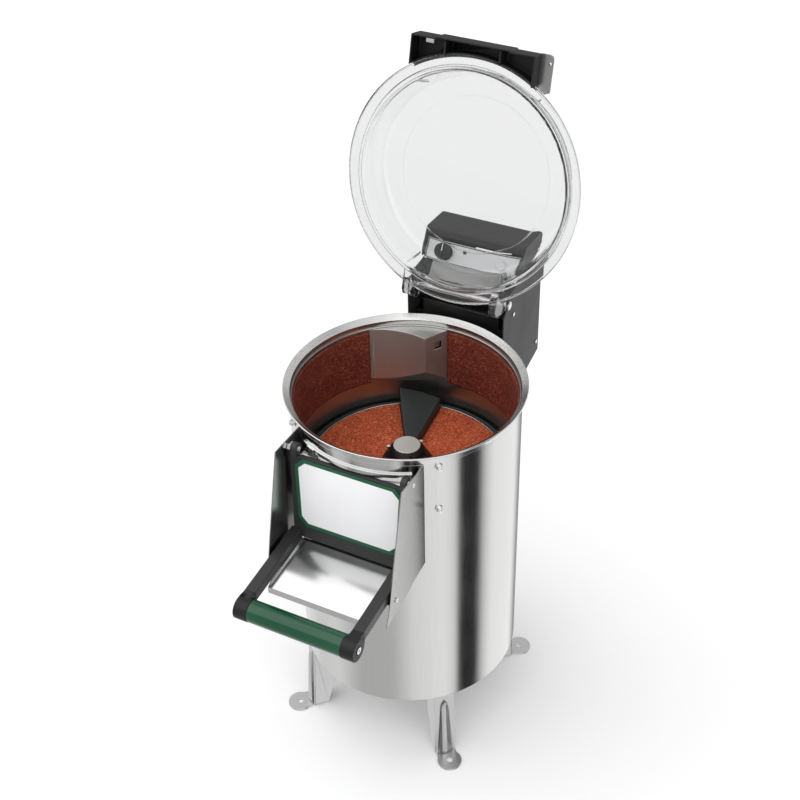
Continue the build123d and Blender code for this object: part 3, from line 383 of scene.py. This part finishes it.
def grainy(name, surface, rows, columns, height, seed, body, material, slot):
    """A sheet of grains: surface(u, v, lift) gives the place of a point, with random grain heights.
    The sheet closes down to its base all round."""
    random = np.random.default_rng(seed)
    lift = random.random((rows, columns))
    lift = 0.75 * lift + 0.25 * np.roll(lift, 1, axis=0)
    lift[[0, -1], :] *= 0.4
    lift[:, [0, -1]] *= 0.4
    bm = bmesh.new()
    top = [[bm.verts.new(surface(i / (rows - 1), j / (columns - 1), height * lift[i, j]))
            for j in range(columns)] for i in range(rows)]
    for i in range(rows - 1):
        for j in range(columns - 1):
            bm.faces.new((top[i][j], top[i + 1][j], top[i + 1][j + 1], top[i][j + 1]))
    low = [[bm.verts.new(surface(float(i), j / (columns - 1), None)) for j in range(columns)]
           for i in (0, 1)]
    for j in range(columns - 1):
        bm.faces.new((low[0][j], low[0][j + 1], low[1][j + 1], low[1][j]))
        bm.faces.new((top[0][j], top[0][j + 1], low[0][j + 1], low[0][j]))
        bm.faces.new((top[-1][j + 1], top[-1][j], low[1][j], low[1][j + 1]))
    for j in (0, columns - 1):
        bm.faces.new([row[j] for row in top] + [low[1][j], low[0][j]])
    bmesh.ops.recalc_face_normals(bm, faces=bm.faces[:])
    piece = from_bmesh(name, bm)
    return finish_piece(piece, body, material, slot)


make_camera()

# CAD nodes that keep their shape: a new finish only
for node, material in {
    "bottom_cover": inner_steel, "spray_pipe": alloy_metal, "bearing_housing": cast_metal,
    "shaft_seal": rubber, "motor_deck": inner_steel, "motor": cast_metal, "timer_unit": black_plastic,
    "lid_switch": black_plastic, "bearings": alloy_metal, "drive_belt": rubber, "main_shaft": alloy_metal,
    "driven_pulley": alloy_metal, "motor_pulley": alloy_metal, "door_gasket": rubber,
    "grip_rod": bright_steel, "chamber_floor": chamber_steel, "hinge_rod": bright_steel,
    "hub_screws": bright_steel,
    "indicator_lamp": lamp_plastic, "lid_magnet": bright_steel,
}.items():
    target = nodes[node]
    if not target.material_slots:
        target.data.materials.append(material)
    for slot in target.material_slots:
        slot.material = material

# CAD shapes with rounded edges
for node, width, material, slot in (
    ("drum_casing", 0.00030, drum_steel, "steel_sheet"),
    ("rim_collar", 0.00030, rim_steel, "steel_polished"),
    ("chamber_wall", 0.00025, chamber_steel, "steel_matt"),
    ("water_deflector", 0.00050, deflector_steel, "steel_matt"),
    ("water_inlet_valve", 0.00080, hood_plastic, "grey_plastic"),
    ("drain_pipe", 0.00040, hood_plastic, "grey_plastic"),
    ("legs", 0.00045, leg_steel, "steel_sheet"),
    ("hex_bolts", 0.00030, bright_steel, "fastener"),
    ("small_screws", 0.00030, bright_steel, "fastener"),
    ("outlet_frame", 0.00040, bright_steel, "steel_polished"),
    ("cheek_left", 0.00030, plate_steel, "steel_sheet"),
    ("cheek_right", 0.00030, plate_steel, "steel_sheet"),
    ("tray", 0.00030, tray_steel, "steel_sheet"),
    ("door_pivots", 0.00040, bright_steel, "fastener"),
    ("column_sides", 0.00050, charcoal, "charcoal_paint"),
    ("column_rear_cover", 0.00040, charcoal, "charcoal_paint"),
    ("column_bottom", 0.00040, inner_steel, "steel_matt"),
    ("column_front_wall", 0.00060, black_plastic, "black_plastic"),
    ("column_apron", 0.00040, apron_steel, "steel_matt"),
    ("hood", 0.00090, hood_plastic, "grey_plastic"),
    ("control_panel", 0.00040, white_film, "panel_white"),
    ("start_switch", 0.00050, bright_steel, "steel_polished"),
    ("start_button", 0.00080, bright_steel, "steel_polished"),
    ("cable_gland", 0.00080, black_plastic, "black_plastic"),
    ("lid_stops", 0.00080, rubber, "rubber"),
    ("plate_disc", 0.00040, lifter_plastic, "black_plastic"),
    ("hub_cone", 0.00070, black_plastic, "black_plastic"),
    ("hub_cap", 0.00070, cap_steel, "steel_polished"),
    ("plate_lifters", 0.00110, lifter_plastic, "black_plastic"),
    ("door_frame", 0.00070, frame_coat, "dark_anodised"),
    ("door_label_plate", 0.00030, green_film, "grip_green"),
    ("lever_arms", 0.00110, arm_coat, "dark_anodised"),
    ("grip_elbows", 0.00110, black_plastic, "black_plastic"),
    ("grip_tube", 0.00060, green_tube, "grip_green"),
    ("lid_dome", 0.00045, polycarbonate, "clear_lid"),
    ("lid_handle", 0.00090, black_plastic, "black_plastic"),
    ("lid_striker_plate", 0.00040, plate_steel, "steel_sheet"),
    ("knob", 0.00080, black_plastic, "black_plastic"),
):
    soften(node, width, material, slot)


# ---- abrasive surfaces ------------------------------------------------------------------------------
def on_plate(start, end, r_in, r_out):
    def surface(u, v, lift):
        angle = math.radians(start + (end - start) * v)
        radius = r_in + (r_out - r_in) * u
        z = PLATE_TOP if lift is None else GRIT_TOP - 0.0006 + lift
        return (radius * math.cos(angle), radius * math.sin(angle), z)
    return surface


def on_wall(start, end, z_low, z_high, r_wall, r_face):
    def surface(u, v, lift):
        angle = math.radians(start + (end - start) * v)
        radius = r_wall if lift is None else r_face + 0.0004 - lift
        return (radius * math.cos(angle), radius * math.sin(angle), z_low + (z_high - z_low) * u)
    return surface


for number, angle in enumerate(LIFTERS):
    surface = on_plate(angle + 12.9, angle + 107.1, 0.0403, 0.150)
    grainy("plate_abrasive_%d" % number, surface, 88, 176, 0.0009, 20 + number,
                               "plate", plate_grit, "abrasive_plate")
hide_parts("abrasive_sectors")

liner_edge = math.degrees(math.acos(0.0835 / 0.166))
liner_spans = ((137.4, 180 + liner_edge, 210), (-liner_edge, 94.1, 316))
for number, (start, end, columns) in enumerate(liner_spans):
    surface = on_wall(start, end, 0.505, 0.600, 0.166, 0.1635)
    grainy("wall_abrasive_%d" % number, surface, 72, columns, 0.0008, 40 + number,
                               "root", wall_grit, "abrasive_wall")
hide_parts("wall_liners")

# a thin bright ring holds the outer edge of the abrasive sectors
trim = lathe("plate_trim_ring", [(0.1503, PLATE_TOP), (0.1514, PLATE_TOP), (0.1514, 0.4655), (0.1511, 0.4659),
                                 (0.1506, 0.4659), (0.1503, 0.4655)], 240)
finish_piece(trim, "plate", rim_steel, "steel_polished")


# ---- door label ---------------------------------------------------------------------------------------
def door_place(proud):
    """Placement on the door's face: X to the right, Y up the face, Z forward."""
    up = Vector((0.0, DOOR_LEAN, 1.0)).normalized()
    out = Vector((1, 0, 0)).cross(up)
    return basis(Vector((0.0, DOOR_TOP_Y, DOOR_TOP_Z)) + out * proud, Vector((1, 0, 0)), out)


def octagon(top, low, x_top, x_low, cut):
    right = [(x_low - cut, low), (x_low, low + cut), (x_top, top - cut), (x_top - cut, top)]
    left = [(-x_top + cut, top), (-x_top, top - cut), (-x_low, low + cut)]
    return [(-x_low + cut, low)] + right + left


def outline_band(name, outer, inner, height, placement, body):
    """A thin green line between two outlines with the same number of corners."""
    bm = bmesh.new()
    loops = [[bm.verts.new((x, y, z)) for x, y in line] for line, z in
             ((outer, 0.0), (outer, height), (inner, height), (inner, 0.0))]
    count = len(outer)
    for a in range(4):
        one, two = loops[a], loops[(a + 1) % 4]
        for i in range(count):
            k = (i + 1) % count
            bm.faces.new((one[i], one[k], two[k], two[i]))
    bmesh.ops.recalc_face_normals(bm, faces=bm.faces[:])
    band = from_bmesh(name, bm, smooth=False)
    band.data.transform(placement)
    finish_piece(band, body, green_film, "grip_green")


plate_front = door_place(0.0010)
face_outline = octagon(-0.0080, -0.1140, 0.0798, 0.0762, 0.0105)
label = prism("label_face", face_outline, 0.0006, plate_front, 0.00015)
finish_piece(label, "door", white_film, "panel_white")
outline_band("label_line", octagon(-0.0048, -0.1172, 0.0836, 0.0798, 0.0118),
             octagon(-0.0070, -0.1150, 0.0810, 0.0774, 0.0110), 0.0003, plate_front, "door")


# ---- control panel details ----------------------------------------------------------------------------
def panel_place(x, u, proud=0.0):
    """Placement on the control panel: x to the right, u up the face, proud of it by the last value."""
    spot = PANEL_LOW + panel_up * u + panel_out * proud + Vector((x, 0, 0))
    return basis(spot, Vector((1, 0, 0)), panel_out)


def make_dial_ticks():
    """Thirteen marks round the knob, every third one longer and wider."""
    bm = bmesh.new()
    for tick in range(13):
        angle = math.radians(-150 + 25 * tick)
        inner, outer = 0.0153, 0.0168 if tick % 3 else 0.0176
        half = 0.00028 if tick % 3 else 0.00045
        radial = Vector((math.sin(angle), math.cos(angle), 0))
        side = Vector((math.cos(angle), -math.sin(angle), 0)) * half
        low = [bm.verts.new(p) for p in (radial * inner - side, radial * inner + side,
                                         radial * outer + side, radial * outer - side)]
        high = [bm.verts.new(v.co + Vector((0, 0, 0.00012))) for v in low]
        bm.faces.new(low)
        bm.faces.new(high[::-1])
        for i in range(4):
            k = (i + 1) % 4
            bm.faces.new((low[i], low[k], high[k], high[i]))
    bmesh.ops.recalc_face_normals(bm, faces=bm.faces[:])
    ticks = from_bmesh("dial_ticks", bm, smooth=False)
    ticks.data.transform(panel_place(KNOB_X, KNOB_U))
    finish_piece(ticks, "root", tick_ink, "black_plastic")


make_dial_ticks()
pointer_outline = [(-0.0008, 0.0), (0.0008, 0.0), (0.0008, 0.0116), (0.0, 0.0122), (-0.0008, 0.0116)]
pointer = prism("knob_pointer", pointer_outline, 0.0003, panel_place(KNOB_X, KNOB_U, 0.0130), 0.0001)
finish_piece(pointer, "knob", white_film, "panel_white")

# a green line runs round the panel's printed film
outer = [(-0.0775, 0.0010), (0.0775, 0.0010), (0.0775, 0.0350), (-0.0775, 0.0350)]
inner = [(-0.0757, 0.0026), (0.0757, 0.0026), (0.0757, 0.0334), (-0.0757, 0.0334)]
outline_band("panel_border", outer, inner, 0.00015, panel_place(0.0, 0.0), "root")

# ---- lid details ------------------------------------------------------------------------------------
side_x = basis(Vector((0, 0, 0)), Vector((0, 1, 0)), Vector((-1, 0, 0)))
buffer_at = lid_pose @ Matrix.Translation((-0.0775, 0.1957, 0.0374)) @ side_x
buffer = lathe("hinge_buffer", [(0.0028, -0.0002), (0.0070, -0.0002), (0.0070, 0.0008), (0.0060, 0.0012),
                                (0.0034, 0.0012), (0.0028, 0.0008)], 48, buffer_at)
finish_piece(buffer, "lid", rubber, "rubber")
centre_profile = [(0.0, -0.0002), (0.0026, -0.0002), (0.0026, 0.0008), (0.0019, 0.0012), (0.0010, 0.0012),
                  (0.0009, 0.0008), (0.0, 0.0008)]
centre = lathe("hinge_buffer_screw", centre_profile, 48, buffer_at, close=False)
finish_piece(centre, "lid", bright_steel, "fastener")
screw_at = lid_pose @ Matrix.Translation((0.109, -0.189, 0.0115))
screw_profile = [(0.0, -0.0019), (0.0023, -0.0019), (0.0023, 0.0), (0.0042, 0.0), (0.0040, 0.0012),
                 (0.0026, 0.0020), (0.0014, 0.0020), (0.0013, 0.0008), (0.0, 0.0008)]
screw = lathe("striker_screw", screw_profile, 48, screw_at, close=False)
finish_piece(screw, "lid", bright_steel, "fastener")

# ---- pressed stiffeners on the legs -------------------------------------------------------------------
def stiffener_rows(bm, turn):
    """Rows of points up one rib, on the leg's outer face: a smooth arch that closes at its top."""
    rows = []
    for i in range(RIB_ROWS):
        t = i / (RIB_ROWS - 1)
        z = RIB_FOOT + RIB_LENGTH * t
        over = min(1.0, max(0.0, (t - 0.85) / 0.15))
        close = 0.97 * math.sqrt(1 - over * over) + 0.03
        half = (0.0120 - 0.0065 * t) * close
        height = (0.0030 - 0.0012 * t) * close
        face = LEG_FACE_R - LEG_FACE_LEAN * z
        row = []
        for j in range(RIB_COLUMNS):
            s = j / (RIB_COLUMNS - 1) * 2 - 1
            out = height * (0.5 + 0.5 * math.cos(math.pi * s))
            row.append(bm.verts.new(turn @ Vector((face + out - 0.0001, half * s, z))))
        rows.append(row)
    return rows


def make_leg_stiffeners():
    bm = bmesh.new()
    for leg in LEG_ANGLES:
        rows = stiffener_rows(bm, Matrix.Rotation(math.radians(leg), 4, "Z"))
        for i in range(RIB_ROWS - 1):
            for j in range(RIB_COLUMNS - 1):
                bm.faces.new((rows[i][j], rows[i][j + 1], rows[i + 1][j + 1], rows[i + 1][j]))
        edge = rows[0] + [r[-1] for r in rows[1:-1]] + rows[-1][::-1] + [r[0] for r in rows[-2:0:-1]]
        bm.faces.new(edge[::-1])
    bmesh.ops.recalc_face_normals(bm, faces=bm.faces[:])
    ribs = from_bmesh("leg_stiffeners", bm)
    finish_piece(ribs, "root", leg_steel, "steel_sheet")


make_leg_stiffeners()


# ---- floor and light ------------------------------------------------------------------------------------
def make_floor():
    bm = bmesh.new()
    bmesh.ops.create_grid(bm, x_segments=4, y_segments=4, size=14.0)
    floor = from_bmesh("floor", bm)
    bpy.context.scene.collection.objects.link(floor)
    s = Shader("floor_paint", Roughness=0.9, Specular_IOR_Level=0.1)
    s.to(s.ramp(s.noise(s.position(), 1.5, 2.0, 0.5), [(0.3, (0.93, 0.93, 0.93)), (0.7, (0.95, 0.95, 0.95))]),
         "Base Color")
    floor.data.materials.append(s.material)
    floor.visible_glossy = False


def sun_light(name, direction, spread, strength):
    """A very large soft light far away, so that the floor is evenly lit; spread is its width in degrees."""
    data = bpy.data.lights.new(name, "SUN")
    data.angle, data.energy = math.radians(spread), strength
    light = bpy.data.objects.new(name, data)
    light.rotation_mode = "QUATERNION"
    light.rotation_quaternion = (-Vector(direction)).to_track_quat("-Z", "Y")
    bpy.context.scene.collection.objects.link(light)


def make_world():
    """White for the camera. Other rays see soft boxes and dark panels standing round the object."""
    world = bpy.data.worlds.new("studio")
    bpy.context.scene.world = world
    world.use_nodes = True
    tree = world.node_tree
    tree.nodes.clear()
    new, link = tree.nodes.new, tree.links.new
    place = new("ShaderNodeTexCoord")
    split = new("ShaderNodeSeparateXYZ")
    link(place.outputs["Generated"], split.inputs[0])
    angle = new("ShaderNodeMath")
    angle.operation = "ARCTAN2"
    link(split.outputs["Y"], angle.inputs[0])
    link(split.outputs["X"], angle.inputs[1])
    turn = new("ShaderNodeMapRange")
    turn.inputs["From Min"].default_value = -math.pi
    turn.inputs["From Max"].default_value = math.pi
    link(angle.outputs[0], turn.inputs["Value"])
    bands = new("ShaderNodeValToRGB")
    stops = ((-180, 0.85), (-150, 0.95), (-120, 0.60), (-82, 0.62), (-58, 1.00), (-25, 1.15), (-13, 0.95),
             (-8, 0.02), (13, 0.03), (22, 0.80), (34, 1.20), (76, 1.20), (92, 0.38), (118, 0.32), (140, 0.95),
             (168, 0.95), (180, 0.85))
    while len(bands.color_ramp.elements) < len(stops):
        bands.color_ramp.elements.new(0.5)
    for element, (degrees, level) in zip(bands.color_ramp.elements, stops):
        element.position = (degrees + 180) / 360
        element.color = (level, level, level, 1)
    link(turn.outputs["Result"], bands.inputs["Fac"])
    rise = new("ShaderNodeMapRange")
    rise.inputs["From Min"].default_value = 0.35
    rise.inputs["From Max"].default_value = 0.80
    link(split.outputs["Z"], rise.inputs["Value"])
    mix = new("ShaderNodeMix")
    mix.data_type = "RGBA"
    link(rise.outputs["Result"], mix.inputs["Factor"])
    link(bands.outputs["Color"], mix.inputs[6])
    mix.inputs[7].default_value = (0.90, 0.90, 0.91, 1)
    studio = new("ShaderNodeBackground")
    studio.inputs["Strength"].default_value = 0.95
    link(mix.outputs[2], studio.inputs["Color"])
    white = new("ShaderNodeBackground")
    white.inputs["Color"].default_value = (1, 1, 1, 1)
    path = new("ShaderNodeLightPath")
    choose = new("ShaderNodeMixShader")
    link(path.outputs["Is Camera Ray"], choose.inputs["Fac"])
    link(studio.outputs[0], choose.inputs[1])
    link(white.outputs[0], choose.inputs[2])
    link(choose.outputs[0], new("ShaderNodeOutputWorld").inputs["Surface"])


make_floor()
make_world()
sun_light("key", (-1.5, -0.9, 2.6), 70.0, 0.95)
sun_light("fill", (0.9, -1.5, 1.6), 70.0, 0.60)
bpy.context.scene.view_settings.view_transform = "Standard"
